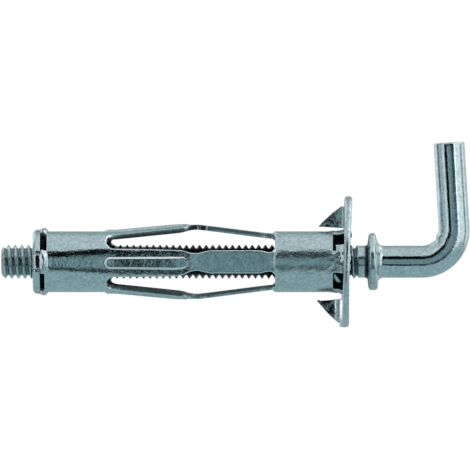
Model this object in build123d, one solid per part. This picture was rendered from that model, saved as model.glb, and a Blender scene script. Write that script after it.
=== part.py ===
from build123d import *
import os
from math import asin, atan2, degrees, pi, radians, sin, sqrt, tan

# A zinc-plated steel hollow-wall anchor, unset, with a square hook screwed into it.
# Millimetres. X runs along the anchor, out of the wall towards the hook, and Z is up.
# The origin is the middle of the flange's wall face, so the wall lies at negative X.

# Hook screw: one bent wire with a rolled thread and an upset collar
thread_diameter = 4.2
thread_past_nut = 3.95
thread_in_front = 0.85
tip_chamfer_length = 0.5
tip_chamfer_depth = 0.75
wire_diameter = 4.0
thread_runout = 0.3
collar_standoff = 2.15
collar_diameter = 7.2
collar_thickness = 1.3
collar_edge_round = 0.35
collar_back_fillet = 0.3
collar_front_fillet = 0.6
hook_reach = 9.7
hook_height = 14.9
hook_bend_radius = 4.0
hook_lean = 3.4
wire_end_chamfer = 0.25

# Sleeve: one sheet, pierced, rolled into a tube and creased at the knees
legs = 4
sheet_thickness = 0.65
sleeve_room = 1.05
collar_length = 7.3
rear_blade_length = 9.3
knee_length = 1.8
front_blade_length = 9.35
joggle_length = 0.6
rear_tube_length = 7.5
leg_root_width = 3.6
rear_blade_end_width = 3.05
knee_waist_width = 2.15
front_blade_width = 2.8
front_waist_width = 2.45
joggle_flare_width = 3.5
blade_widening = 1.6
blade_narrowing = 1.3
knee_rise = 0.85
knee_flat = 0.6
joggle_depth = 0.25
bead_width = 1.35
bead_height = 0.2
bead_flank = 0.17
bead_behind_slot = 0.25
bead_short_of_waist = 0.85
bead_groove_width = 0.7
bead_groove_depth = 0.14
edge_break = 0.12
seam_width = 0.1
seam_angle = -135

# Tabs that hold the flange plate in front and the nut behind
tab_width = 2.85
tongue_width = 1.85
front_window = 1.2
front_flare = 0.15
head_height = 0.34
head_spread = 0.2
head_chamfer = 0.14
rear_window = 0.74
bulge_height = 0.44
bulge_shoulder = 0.32
bulge_root = 0.35
tongue_lift = 0.2
tongue_end_chamfer = 0.25

# Nut: a pressed disc with a shoulder and a drawn, tapped neck inside the tube
nut_disc_thickness = 0.95
nut_rim_inset = 0.05
nut_rim_round = 0.3
nut_shoulder_rise = 0.15
nut_shoulder_length = 0.5
nut_neck_length = 3.4
nut_neck_chamfer = 0.25

# Flange plate: a stamped disc with a hub inside the sleeve and two claws turned back into the wall
flange_diameter = 16.4
flange_thickness = 0.95
flange_rim_thickness = 0.75
flange_crown_start = 5.0
flange_rim_round = 0.3
seat_recess_depth = 0.15
seat_recess_margin = 0.2
hub_length = 1.3
hub_chamfer = 0.2
claw_thickness = 0.7
claw_length = 3.1
claw_bend_radius = 0.35
claw_tip_width = 0.15
claw_tip_lift = 0.16
claw_rim_land = 1.1
claw_shift = 0.2
claw_inner_land = 0.05

# Clearances and tool sizes
thread_clearance = 0.05
plate_hole_clearance = 0.3
nut_neck_clearance = 0.1
hub_clearance = 0.1
seat_clearance = 0.02
fuse_overlap = 0.3
overrun = 1.0

# Radii
thread_radius = thread_diameter / 2
wire_radius = wire_diameter / 2
collar_radius = collar_diameter / 2
flange_radius = flange_diameter / 2
sleeve_inner = thread_radius + sleeve_room
sleeve_outer = sleeve_inner + sheet_thickness
knee_radius = sleeve_outer + knee_rise
seat_recess_radius = sleeve_outer + front_flare + seat_recess_margin

# Stations along X, from the flange plate back to the tip and out to the hook
collar_front = -front_window
collar_back = collar_front - collar_length
front_blade_back = collar_back - joggle_length - front_blade_length
knee_back = front_blade_back - knee_length
slot_back = knee_back - rear_blade_length
tube_back = slot_back - rear_tube_length
nut_front = tube_back - rear_window
nut_back = nut_front - nut_disc_thickness
tip = nut_back - thread_past_nut
thread_end = flange_thickness + thread_in_front
upset_back = flange_thickness + collar_standoff
upset_front = upset_back + collar_thickness
arm_foot = upset_front + hook_reach

# Angles of the legs and tabs about the axis
leg_pitch = 360 / legs
tab_half_angle = degrees(asin(tab_width / 2 / sleeve_outer))
tongue_half_angle = degrees(asin(tongue_width / 2 / sleeve_outer))
root_half_angle = degrees(asin(leg_root_width / 2 / sleeve_outer))
slot_half_width = sleeve_outer * sin(radians(leg_pitch / 2 - root_half_angle))
root_end = slot_back + slot_half_width
blade_end = sleeve_outer + knee_rise * (knee_back - root_end) / (front_blade_back - root_end)


def outline(points):
    """A flat face from (x, radius) points in the plane through the axis and +Z."""
    return make_face(Polyline([(x, 0, r) for x, r in points], close=True))


def ring(points):
    """An outline turned all the way round the axis."""
    return revolve(outline(points), Axis.X)


def sector(face, half_angle):
    """A face turned about the axis by the same angle on each side of +Z."""
    return Rot(X=-half_angle) * revolve(face, Axis.X, 2 * half_angle)


def all_round(shape, start=0):
    """Copies of a shape at every leg's place about the axis."""
    return [Rot(X=start + leg_pitch * i) * shape for i in range(legs)]


def gap_between(x_back, x_front, half_angle, floor=thread_radius):
    """Cutters that clear the wall, down to a radius, between tabs of the given half angle."""
    reach = knee_radius + overrun
    block = outline([(x_back, floor), (x_back, reach), (x_front, reach), (x_front, floor)])
    return all_round(sector(block, leg_pitch / 2 - half_angle), leg_pitch / 2)


def flat_section(x, radius, width):
    """A flat strip of the sheet, cut across."""
    half = width / 2
    inner = radius - sheet_thickness
    corners = [(x, -half, radius), (x, half, radius), (x, half, inner), (x, -half, inner)]
    return make_face(Polyline(corners, close=True))


def band_section(x, radius, width):
    """A strip of the tube wall inside its broken edge, cut across, with upright sides."""
    half = width / 2
    inner = radius - sheet_thickness + edge_break
    outer_edge = sqrt(radius**2 - half**2)
    inner_edge = sqrt(inner**2 - half**2)
    edges = [
        ThreePointArc((x, -half, outer_edge), (x, 0, radius), (x, half, outer_edge)),
        Line((x, half, outer_edge), (x, half, inner_edge)),
        ThreePointArc((x, half, inner_edge), (x, 0, inner), (x, -half, inner_edge)),
        Line((x, -half, inner_edge), (x, -half, outer_edge)),
    ]
    return make_face(edges)


def seam_cutter(x_back, x_front):
    """The thin gap where the rolled sheet's edges meet."""
    length = x_front - x_back + overrun
    blade = Box(length, seam_width, 2 * (sheet_thickness + overrun))
    return Rot(X=seam_angle) * Pos((x_back + x_front) / 2, 0, sleeve_outer) * blade


def make_rear():
    """The rear tube with its nut tabs behind and the four curved rear blades in front."""
    seat = nut_front + seat_clearance
    lift = sleeve_outer + tongue_lift
    bulge_middle = (tube_back + seat) / 2
    bulge_start = tube_back + bulge_root
    wall = outline(
        [
            (knee_back, blade_end - sheet_thickness),
            (knee_back, blade_end),
            (root_end, sleeve_outer),
            (bulge_start, sleeve_outer),
            (tube_back, sleeve_outer + bulge_shoulder),
            (bulge_middle, sleeve_outer + bulge_height),
            (seat, lift),
            (nut_back + tongue_end_chamfer, lift),
            (nut_back, lift - tongue_end_chamfer),
            (nut_back, lift - sheet_thickness),
            (seat, lift - sheet_thickness),
            (bulge_middle, sleeve_inner + bulge_height),
            (tube_back, sleeve_inner),
            (root_end, sleeve_inner),
        ]
    )
    rear = revolve(wall, Axis.X)
    rear -= gap_between(nut_back - overrun, seat, tongue_half_angle)
    rear -= gap_between(nut_front, tube_back, tab_half_angle)
    rear -= gap_between(tube_back, bulge_start, tab_half_angle, sleeve_outer)
    blade_half_angle = degrees(asin(rear_blade_end_width / 2 / blade_end))
    slot_end_half_width = blade_end * sin(radians(leg_pitch / 2 - blade_half_angle))
    slot_plan = make_face(
        [
            ThreePointArc((root_end, -slot_half_width), (slot_back, 0), (root_end, slot_half_width)),
            Line((root_end, slot_half_width), (knee_back, slot_end_half_width)),
            Line((knee_back, slot_end_half_width), (knee_back + overrun, slot_end_half_width)),
            Line((knee_back + overrun, slot_end_half_width), (knee_back + overrun, -slot_end_half_width)),
            Line((knee_back + overrun, -slot_end_half_width), (knee_back, -slot_end_half_width)),
            Line((knee_back, -slot_end_half_width), (root_end, -slot_half_width)),
        ]
    )
    rear -= all_round(extrude(slot_plan, knee_radius + overrun), leg_pitch / 2)
    return rear - seam_cutter(tube_back, slot_back)


def make_front():
    """The front collar with the tabs that pass through the flange plate and are peened over."""
    seat = seat_recess_depth - seat_clearance
    head_back = flange_thickness + seat_clearance
    head_front = head_back + head_height
    wall = outline(
        [
            (collar_back, sleeve_inner),
            (collar_back, sleeve_outer - edge_break),
            (collar_back + edge_break, sleeve_outer),
            (collar_front + front_window / 2, sleeve_outer),
            (seat - front_flare, sleeve_outer + front_flare),
            (seat, sleeve_outer + front_flare),
            (seat, sleeve_outer),
            (head_front - head_chamfer, sleeve_outer),
            (head_front, sleeve_outer - head_chamfer),
            (head_front, sleeve_inner - head_spread + head_chamfer),
            (head_front - head_chamfer, sleeve_inner - head_spread),
            (head_back, sleeve_inner - head_spread),
            (head_back, sleeve_inner),
        ]
    )
    front = revolve(wall, Axis.X)
    front -= gap_between(collar_front, seat, tab_half_angle)
    front -= gap_between(seat, head_back, tongue_half_angle)
    head_half_angle = tongue_half_angle + degrees(head_spread / sleeve_outer)
    front -= gap_between(head_back, head_front + overrun, head_half_angle)
    return front - seam_cutter(collar_back, collar_front)


def make_bead():
    """The raised bead that stiffens a leg's rear blade, and the groove behind it."""
    run = front_blade_back - root_end
    slope = degrees(atan2(knee_rise, run))
    start = slot_back - bead_behind_slot
    end = front_blade_back - bead_short_of_waist
    length = end - start
    middle = (start + end) / 2
    height = sleeve_outer + knee_rise * (middle - root_end) / run
    place = Pos(middle, 0, height) * Rot(Y=-slope)
    foot = SlotOverall(length, bead_width)
    top = Pos(Z=bead_height) * SlotOverall(length - 2 * bead_flank, bead_width - 2 * bead_flank)
    bead = loft([foot, top]) + extrude(foot, -sheet_thickness / 2)
    floor = Pos(Z=-sheet_thickness - fuse_overlap) * SlotOverall(length - 2 * bead_width, bead_groove_width)
    groove = extrude(floor, fuse_overlap + bead_groove_depth)
    return place * bead, place * groove


def make_leg(rear):
    """The rest of one leg at +Z: a flattened knee, a flat front blade and a joggle to the collar."""
    blade_face = rear.faces().group_by(Axis.X)[-1].sort_by(Axis.Z)[-1]
    knee = loft([blade_face, flat_section(front_blade_back, knee_radius, knee_waist_width)])
    front_end = collar_back - joggle_length
    root = sleeve_outer - joggle_depth
    crest = front_blade_back + knee_flat
    crest_under = knee_radius - sheet_thickness
    side = outline(
        [
            (front_blade_back, knee_radius),
            (crest, knee_radius),
            (front_end, root),
            (front_end, root - sheet_thickness),
            (crest, crest_under),
            (front_blade_back, crest_under),
        ]
    )
    stations = [
        (front_blade_back, knee_waist_width / 2),
        (front_blade_back + blade_widening, front_blade_width / 2),
        (front_end - blade_narrowing, front_blade_width / 2),
        (front_end, front_waist_width / 2),
    ]
    near_edge = [(x, -half) for x, half in stations]
    far_edge = [(x, half) for x, half in reversed(stations)]
    plan = make_face(Polyline(near_edge + far_edge, close=True))
    front_blade = extrude(side, front_blade_width, both=True) & extrude(plan, knee_radius + overrun)
    joggle = loft(
        [
            flat_section(front_end, root, front_waist_width),
            band_section(collar_back, sleeve_outer - edge_break, joggle_flare_width),
        ]
    )
    return knee + front_blade + joggle


def make_sleeve():
    """The whole rolled sheet: rear tube, four legs, front collar and eight tabs."""
    rear = make_rear()
    bead, groove = make_bead()
    sleeve = rear + make_front() + all_round(make_leg(rear))
    sleeve += all_round(bead)
    return sleeve - all_round(groove)


def make_nut():
    """The pressed nut: a disc notched for the rear tabs and a neck that carries the thread."""
    rim = sleeve_outer - nut_rim_inset
    neck = sleeve_inner - nut_neck_clearance
    neck_front = nut_front + nut_neck_length
    shoulder = sleeve_inner + nut_shoulder_rise
    bore = thread_radius + thread_clearance
    body = ring(
        [
            (nut_back, bore),
            (nut_back, rim - nut_rim_round),
            (nut_back + nut_rim_round, rim),
            (nut_front, rim),
            (nut_front, shoulder),
            (nut_front + nut_shoulder_length, shoulder),
            (tube_back, neck),
            (neck_front - nut_neck_chamfer, neck),
            (neck_front, neck - nut_neck_chamfer),
            (neck_front, bore),
        ]
    )
    floor = sleeve_inner + tongue_lift - seat_clearance
    notch = sector(
        outline(
            [
                (nut_back - overrun, floor),
                (nut_front + overrun, floor),
                (nut_front + overrun, rim + overrun),
                (nut_back - overrun, rim + overrun),
            ]
        ),
        tongue_half_angle + degrees(seat_clearance / sleeve_inner),
    )
    return body - all_round(notch)


def make_claw():
    """One claw above the axis with its opening: a pointed tab lanced from the plate and folded back."""
    inner = seat_recess_radius + claw_shift + claw_inner_land
    outer = flange_radius - claw_rim_land
    fold = -claw_bend_radius - claw_thickness / 2
    root = fold - fuse_overlap
    bend_outer = claw_bend_radius + claw_thickness
    under = fold + claw_bend_radius
    over = fold + bend_outer
    arc_share = sqrt(1 / 2)
    strip = make_face(
        [
            Line((0, root, 0), (claw_thickness, root, 0)),
            Line((claw_thickness, root, 0), (claw_thickness, fold, 0)),
            ThreePointArc(
                (claw_thickness, fold, 0),
                (bend_outer * arc_share - claw_bend_radius, fold + bend_outer * arc_share, 0),
                (-claw_bend_radius, over, 0),
            ),
            Line((-claw_bend_radius, over, 0), (-claw_length, over, 0)),
            Line((-claw_length, over, 0), (-claw_length, under, 0)),
            Line((-claw_length, under, 0), (-claw_bend_radius, under, 0)),
            ThreePointArc(
                (-claw_bend_radius, under, 0),
                (claw_bend_radius * (arc_share - 1), fold + claw_bend_radius * arc_share, 0),
                (0, fold, 0),
            ),
            Line((0, fold, 0), (0, root, 0)),
        ]
    )
    strip = Pos(Z=inner) * extrude(strip, outer - inner, dir=(0, 0, 1))
    tip = inner + claw_tip_lift
    side = outline(
        [
            (claw_thickness + overrun, inner),
            (-claw_bend_radius, inner),
            (-claw_length, tip),
            (-claw_length, tip + claw_tip_width),
            (-claw_bend_radius, outer),
            (claw_thickness + overrun, outer),
        ]
    )
    claw = strip & extrude(side, flange_radius, both=True)
    unfolded = (claw_bend_radius + claw_thickness / 2) * pi / 2 + claw_length - claw_bend_radius
    low = inner - seat_clearance
    opening = make_face(
        Polyline(
            (-overrun, fold, low),
            (-overrun, fold, outer + seat_clearance),
            (-overrun, over + seat_clearance, outer + seat_clearance),
            (-overrun, fold + unfolded, tip + claw_tip_width),
            (-overrun, fold + unfolded, low),
            close=True,
        )
    )
    opening = extrude(opening, flange_thickness + 2 * overrun, dir=(1, 0, 0))
    return claw, opening


def make_flange_plate():
    """The stamped disc with its seat recess, drawn hub, four tab slots and two claws."""
    hole = thread_radius + plate_hole_clearance
    hub = sleeve_inner - hub_clearance
    disc = ring(
        [
            (-hub_length, hole),
            (-hub_length, hub - hub_chamfer),
            (hub_chamfer - hub_length, hub),
            (seat_recess_depth, hub),
            (seat_recess_depth, seat_recess_radius),
            (0, seat_recess_radius),
            (0, flange_radius - flange_rim_round),
            (flange_rim_round, flange_radius),
            (flange_rim_thickness - flange_rim_round, flange_radius),
            (flange_rim_thickness, flange_radius - flange_rim_round),
            (flange_thickness, flange_crown_start),
            (flange_thickness, hole),
        ]
    )
    slot = sector(
        outline(
            [
                (-overrun, sleeve_inner - seat_clearance),
                (flange_thickness + overrun, sleeve_inner - seat_clearance),
                (flange_thickness + overrun, sleeve_outer + seat_clearance),
                (-overrun, sleeve_outer + seat_clearance),
            ]
        ),
        tongue_half_angle + degrees(seat_clearance / sleeve_inner),
    )
    claw, opening = make_claw()
    plate = disc - all_round(slot)
    for half_turn in (0, 180):
        place = Pos(Z=-claw_shift) * Rot(X=half_turn)
        plate = plate - place * opening + place * claw
    return plate


def make_hook_screw():
    """The bent wire: threaded shank, upset collar, right-angled hook."""
    shank = ring(
        [
            (tip, 0),
            (tip, thread_radius - tip_chamfer_depth),
            (tip + tip_chamfer_length, thread_radius),
            (thread_end, thread_radius),
            (thread_end + thread_runout, wire_radius),
            (upset_front, wire_radius),
            (upset_front, 0),
        ]
    )
    upset = ring(
        [
            (upset_back - collar_back_fillet, 0),
            (upset_back - collar_back_fillet, wire_radius),
            (upset_back, wire_radius + collar_back_fillet),
            (upset_back, collar_radius - collar_edge_round),
            (upset_back + collar_edge_round, collar_radius),
            (upset_front - collar_edge_round, collar_radius),
            (upset_front, collar_radius - collar_edge_round),
            (upset_front, wire_radius + collar_front_fillet),
            (upset_front + collar_front_fillet, wire_radius),
            (upset_front + collar_front_fillet, 0),
        ]
    )
    lean = radians(hook_lean)
    end = (arm_foot - hook_height * tan(lean), 0, hook_height)
    route = FilletPolyline((upset_back, 0, 0), (arm_foot, 0, 0), end, radius=hook_bend_radius)
    wire = sweep(Plane.YZ.offset(upset_back) * Circle(wire_radius), route)
    end_face = wire.faces().sort_by(Axis.Z)[-1]
    wire = chamfer(end_face.edges(), wire_end_chamfer)
    return shank + upset + wire


pieces = {
    "hook_screw": make_hook_screw(),
    "sleeve": make_sleeve(),
    "nut": make_nut(),
    "flange_plate": make_flange_plate(),
}
os.makedirs("parts", exist_ok=True)
for name, shape in pieces.items():
    export_step(shape, f"parts/{name}.step")
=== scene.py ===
import bmesh
import bpy
from bmesh import ops
from bmesh.types import BMEdge, BMVert
from math import asin, cos, degrees, exp, pi, radians, sin, sqrt, tan
from mathutils import Matrix, Vector, kdtree, noise


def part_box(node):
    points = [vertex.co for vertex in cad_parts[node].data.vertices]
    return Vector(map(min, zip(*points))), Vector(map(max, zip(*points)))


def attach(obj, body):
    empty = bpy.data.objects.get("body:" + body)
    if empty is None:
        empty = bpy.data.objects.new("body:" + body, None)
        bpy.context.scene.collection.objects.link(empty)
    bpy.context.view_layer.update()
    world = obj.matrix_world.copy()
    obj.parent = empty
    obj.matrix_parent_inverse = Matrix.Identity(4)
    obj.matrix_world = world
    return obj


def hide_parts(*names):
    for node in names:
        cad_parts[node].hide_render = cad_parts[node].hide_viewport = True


# Looks of a zinc-plated hollow-wall anchor with a square hook.
# Pieces are modelled in millimetres, in the frame's axes, and scaled to metres as they are finished.
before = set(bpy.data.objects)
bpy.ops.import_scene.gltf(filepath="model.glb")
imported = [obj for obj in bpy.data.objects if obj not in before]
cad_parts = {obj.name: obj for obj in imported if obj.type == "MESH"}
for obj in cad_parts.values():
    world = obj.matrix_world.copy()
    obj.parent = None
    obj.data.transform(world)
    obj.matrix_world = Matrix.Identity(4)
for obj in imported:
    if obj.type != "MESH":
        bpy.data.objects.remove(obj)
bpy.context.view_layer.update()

mm = 0.001
slack = 0.02
hair = 0.001

# Hook screw
thread_pitch = 0.823
thread_crest = 2.1
thread_root = 1.68
thread_shift = 0.48
thread_steps = 64
thread_shares = ((0, 0), (0.09, 0), (0.3, 0.62), (0.43, 1), (0.57, 1), (0.7, 0.62), (0.91, 0), (1, 0))
thread_weld = 0.002
cut_weld = 0.0001
wire_radius = 2.0
tip_radius = 1.3
tip_chamfer = 0.8
runout_start = 1.72
runout_end = 1.95
thread_end = 2.05
upset_back = 3.1
upset_front = 4.4
upset_radius = 3.6
upset_foot = ((0.35, 0), (0.08, 0.12))
upset_length_power = 0.55
upset_height_power = 0.5
upset_steps = 20
upset_fillet = 0.6
fillet_steps = 5
shank_runs = (0.6, 1.6)
bend_radius = 4.0
bend_steps = 32
arm_foot = 14.1
arm_lean = radians(3.4)
arm_height = 14.894
arm_steps = 6
arm_end_round = 0.22
arm_end_steps = 4
arm_slim_share = 0.035
arm_shift = 0.04
arm_shift_heights = (1, 5)
bend_turn = pi / 2 + arm_lean
bend_reach = bend_radius * tan(bend_turn / 2)

# Hook screw: lumps on the upset collar, and wrinkles in the bend as height, degrees round it and half-width
forged_back = upset_back - 0.5
forged_front = upset_front + 1
forged_radius = wire_radius + 0.05
collar_lump = 0.13
collar_lump_cells = 0.9
collar_lean = 0.16
collar_lean_slope = 0.045
collar_lean_start = upset_back + 0.3
collar_swell = 0.07
collar_swell_cells = 0.7
collar_swell_offset = Vector((5, 0, 0))
wrinkle_top = bend_radius + 2
wrinkles = ((0.28, 24, 7), (-0.196, 38, 6))

# Sleeve: stations along the anchor
nut_back = -38.74
nut_front = -37.79
tube_back = -37.05
bulge_front = -36.7
slot_back = -29.55
root_end = -28.46
knee_back = -20.25
crest_back = -19.15
knee = -18.45
crest_front = -17.85
front_end = -9.1
collar_back = -8.5
collar_front = -1.2
plate_seat = 0.13
head_back = 0.97
head_front = 1.31

# Sleeve: heights over the axis and distances across the sheet
sleeve_outer = 3.8
sheet_thickness = 0.65
knee_rise = 0.85
joggle_depth = 0.25
joggle_reach = 0.16
joggle_bow = 0.6
bulge_height = 0.44
bulge_fall = 0.12
bulge_fall_share = 0.9
bulge_end = 0.2
tongue_lift = 0.2
tongue_curl = ((0, 0.35), (0.15, 0.12), (0.4, 0))
front_flare = 0.15
flare_run = 0.6
sheet_bend_round = 0.15
quarter_half = sleeve_outer * pi / 4
tongue_half = 0.93
tab_half = 1.46
tab_crown_shares = (0.2, 0.85)
spread_tab_half = 2.35
spread_tab_lag = 0.2
head_spread_share = 0.25
leg_root_half = 1.877
leg_core_half = 0.78
bead_half = 0.76
bead_flank = 0.3
bead_columns = 5
bead_height = 0.2
bead_back = -29.8
bead_front = -19.3
bead_end_share = 0.55
bead_end_run = 2.2
back_slot_lag = 0.5
back_slot_run = 1
low_window_lip = 0.33
seam_half = 0.05
sheet_weld = 0.004
head_shares = (0.7, 0.5, 0.3, 0.5)
legs = 4
top_leg, facing_leg, low_leg, back_leg = range(legs)
plain_columns = (0.18, 0.34, 1.1, 1.22, 1.66, 2.1, 2.6, 2.8)
near_edge_shares = (0.75, 0.35, 0)
leg_widths = (
    (root_end, leg_root_half),
    (knee_back + 0.1, 1.5),
    (knee - 0.5, 1.12),
    (knee + 0.35, 1.08),
    (crest_front + 1.2, 1.43),
    (front_end - 1.2, 1.45),
    (front_end - 0.3, 1.2),
    (front_end + 0.2, 1.25),
    (collar_back, leg_root_half),
)
leg_width_round = 0.25

# Sleeve: legs pressed flat and twisted, dents, and edges rounded, with wear and a painted highlight
flat_start = tube_back + 2
flat_knee_lead = 0.8
flat_front = (collar_back - 0.4, collar_back + 0.1)
flat_round = 0.1
rear_flat_share = 0.3
knee_flat_share = 0.4
front_flat_share = 0.95
side_leg_flat_share = 0.6
side_leg_flat_lag = 1.1
leg_twist = radians(2.2)
twist_end = (knee_back - 1, knee + 0.5)
wave_height = 0.005
wave_cells = Vector((0.4, 0.5, 7.0))
crease_depth = 0.03
crease_half = 0.09
crease_lead = 0.05
crease_bow = 0.3
mark_cells = Vector((1.6, 1.8, 3.0))
mark_offset = Vector((0, 0, 1.0))
front_dent = 0.3
front_dent_run = (collar_front - 0.9, collar_front + 0.2)
front_dent_half = 1.1
rear_dent = 0.13
rear_dent_half = 0.9
edge_round = 0.15
side_leg_round_share = 0.3
side_leg_round_run = (root_end, root_end + 1.5)
slot_end_growth_share = 0.7
slot_end_start = (slot_back - 0.4, slot_back - 0.1)
slot_end_stop = (slot_back + 0.3, root_end)

# Flange plate and nut
flange_radius = 8.2
flange_thickness = 0.95
rim_thickness = 0.75
rim_round = 0.3
rim_slack = 0.03
rim_slices = 12
hole_radius = 2.4
plate_tilt = radians(1.5)
plate_bow = 0.2
plate_ragged = 0.03
plate_ragged_cells = 1.1
plate_corner = 0.08
burr_half = 0.5
burr_reach = 0.4
burr_run = 0.35
claw_length = 3.1
claw_inner = 4.1
claw_outer = 7.1
claw_tip = 0.3
claw_start = 0.01
claw_foot = 0.3
claw_slices = 24
claw_side_slices = [4 + 0.3 * step for step in range(12)]
claw_lean = radians(10)
claw_dent = 0.07
claw_dent_cells = 1.5
claw_swell = 0.18
low_claw_growth = 0.35
low_claw_folds = ((0.16, -0.95, -0.62), (-0.34, -0.57, -0.4))
nut_rim = 3.75
nut_rim_seen = 3.93
nut_swell_run = (nut_rim - 0.5, nut_rim - 0.3)
nut_corner = 0.1
weld = 0.0005
flat_angle = radians(0.6)
corner_angle = radians(25)
crease_angle = radians(35)

# Zinc plate: colours, scales in cells for each metre, and the strength of each layer
zinc_tones = ((0.62, 0.73, 0.76), (0.5, 0.62, 0.65))
# The sheet's inner face: darker tones of the same zinc, as painted shade
inside_shaded_tones = ((0.2, 0.25, 0.27), (0.1, 0.13, 0.14))
# The tear zone of a cut edge, also used for painted shade on the rims
torn_and_shaded_tone = (0.14, 0.185, 0.195, 1)
# Near white for painted highlights
sheen_white = (0.98, 1, 1, 1)
# Black for painted shade
shade_black = (0.004, 0.006, 0.007, 1)
white = (1, 1, 1, 1)
black = (0, 0, 0, 1)
blotch_scale = 700.0
wire_blotch_scale = 500.0
grain_scale = 2600.0
speck_scale = 2200.0
# Scale of the patches of painted shade on the claws
shade_patch_scale = 1500.0
noise_detail = 3.0
grain_roughness = 0.7
blotch_range = (0.35, 0.65)
grain_range = (0.3, 0.7)
speck_range = (0.1, 0.3)
shade_patch_range = (0.4, 0.6)
blotch_height = 2.5
grain_height = 1.4
speck_depth = 0.25
edge_likeness = (0.72, 0.98)
edge_reach = 0.08
bevel_samples = 6
pale_gain = 1.2
dull_gain = 0.7
# Edges are lightened both as wear and as a painted highlight
wear_sheen_gain = 1.35
crystal_share = 0.55
speck_share = 0.45
wear_sheen_share = 0.8
gloss_shares = (1.25, 0.85)

# Painted shade, painted highlights and wear: where each starts and ends, with its softness as a third value,
# and its strength
# Painted shade on the thread inside the sleeve, weaker on its lower side, and in its roots
thread_shade_back = (nut_front - 1, nut_front)
thread_shade_front = (head_back, head_back + 0.1)
thread_shade_fade_heights = (-1.9, -1.2)
thread_low_shade_share = 0.65
root_shade_radii = (thread_root, thread_crest - 0.08)
root_shade_shares = (0.55, 0.7)
thread_gloss = (0.2, 0.45)
# Painted shade in the corner behind the upset collar
corner_shade_back = (upset_back - 0.5, upset_back - 0.3)
corner_shade_front = (upset_back + 0.05, upset_back + 0.3)
corner_shade_radii = (upset_radius - 0.5, upset_radius - 0.2)
corner_shade_share = 0.95
dull_collar_run = (upset_front + 0.3, upset_front + 0.8)
collar_dulling = 0.18
# Painted shade on the nut's neck, and the gloss where painted shade lies
neck_shade_run = (nut_front - 0.1, nut_front)
shaded_gloss = (0.12, 0.5)
# Painted shade on the plate's hub and round its hole, but for a streak left lit as a painted highlight
hub_radii = (sleeve_outer - 0.3, sleeve_outer)
hole_shade_radii = (hole_radius, hole_radius + 0.3)
hub_glint_slope = 1.3
hub_glint_streak = (-3.5, -2.9, 0.1)
hub_gloss = (0.14, 0.5)
# Patchy painted shade on the claws, but for the lower claw's edges
claw_shade_run = (-1.15, -1.05)
claw_shade_shares = (0.97, 0.1)
claw_lit_edge_reach = 0.16
claw_lit_edge_heights = (-1, 0)
claw_lit_share = 0.9
# Painted highlights on the lower claw
claw_glint_stripe = (-1.03, -0.82, 0.06)
claw_glint_patch = (-0.45, -0.12, 0.06)
low_claw_glint_heights = (-4.7, -4.4)
bend_relief_run = (arm_foot - bend_radius - 1, arm_foot - bend_radius + 0.8)
bend_relief_heights = (bend_radius - 1.5, bend_radius + 1)
bend_relief_gain = 2.2
scuff_run = (collar_back, collar_back + 0.3)
scuff_dulling = 0.09
# A painted highlight on the sleeve's edges and bead shoulders
edge_sheen_share = 0.9
tube_relief_run = (bead_back, bead_back + 1.5)
tube_relief_share = 0.55
# Cut edges: a tear zone below their bright part, with painted shade on the top leg's upper side, blade and
# crest
tear_depths = (0.3, 0.45)
turned_shade_depths = (0.55, 0.7)
turned_shade_run = (knee, knee + 1)
top_heights = (0, 1)
top_blade_shade_depths = (0.02, 0.12)
top_blade_shade_share = 0.5
top_blade_shade_run = (root_end, knee_back + 0.6, 0.3)
top_blade_black_share = 0.6
# Less painted shade and tear at the low leg's crest
low_crest_run = (knee - 0.5, knee + 0.5, 0.15)
low_crest_dark_share = 0.2
top_crest_run = (knee - 0.9, knee + 1.7, 0.1)
top_crest_shade_share = 0.8
# Painted highlights on the top leg's crest
crest_glints = ((knee + 0.2, knee + 0.65, 0.08), (knee + 1.3, knee + 1.65, 0.08))
torn_and_shaded_share = 0.8
# Painted shade on the rims next to the plate
rim_shade_back = (collar_front - 0.3, collar_front - 0.1)
rim_shade_share = 0.95

# Stage: turns from the camera and rises from level in degrees, and the card and the floor in millimetres
# A tent panel, or a gap between two, has where it starts and ends and how bright it is
tent_panels = (
    (-160, -112, 0.9),
    (-111, -92, 0.2),
    (-91, -62, 0.58),
    (-62, -12, 0.9),
    (20, 43, 1.6),
    (43, 84, 1.08),
    (87, 102, 0.38),
    (102, 122, 1.05),
    (122, 160, 0.72),
)
panel_softness = 3
panel_rises = (-16, 52, 6)
panel_tint = (0.97, 1.0, 1.0)
gap_tint = (0.84, 1.0, 1.03)
gap_brightness = 0.7
tent_low = (0.367, 0.495, 0.518, 1)
tent_high = (0.66, 0.735, 0.75, 1)
horizon_rises = (-14, 14)
tent_back = (0.36, 0.42, 0.43, 1)
tent_back_turns = (110, 165)
tent_back_top = (30, 85)
tent_back_foot = (-40, -20)
softbox_turns = (40, 155, 8)
softbox_rises = (24, 62, 6)
softbox_light = (1.27, 1.29, 1.29, 1)
plain_light = (0.7, 0.7, 0.7, 1)
card_away = 140
card_sides = (-115, 98)
card_heights = (-96, 122)
card_dark = (0.003, 0.005, 0.006, 1)
card_foot = (-82, -79)
port_tone = (0.281, 0.41, 0.436, 1)
port_slope = 0.3
port_top = (41, 45)
port_foot = (-50, -46)
port_left = (-45, -41)
port_shade_run = (-40, 15)
port_shade_share = 0.78
lens_left = (24, 40)
lens_foot = (4, 12)
lens_shade_share = 0.75
floor_half = 45
floor_middle = -13
floor_drop = 30
floor_tone = (0.8, 0.82, 0.82, 1)
floor_roughness = 0.9
shadow_reach = 50
shadow_samples = 8
shadow_range = (0.2, 1.0)
shadow_share = 0.45


def ease(value, start, end):
    """0 before start, 1 past end, smooth between."""
    share = min(max((value - start) / (end - start), 0), 1)
    return share * share * (3 - 2 * share)


def bell(value, half):
    """1 at zero, falling away on both sides."""
    return exp(-((value / half) ** 2))


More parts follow.
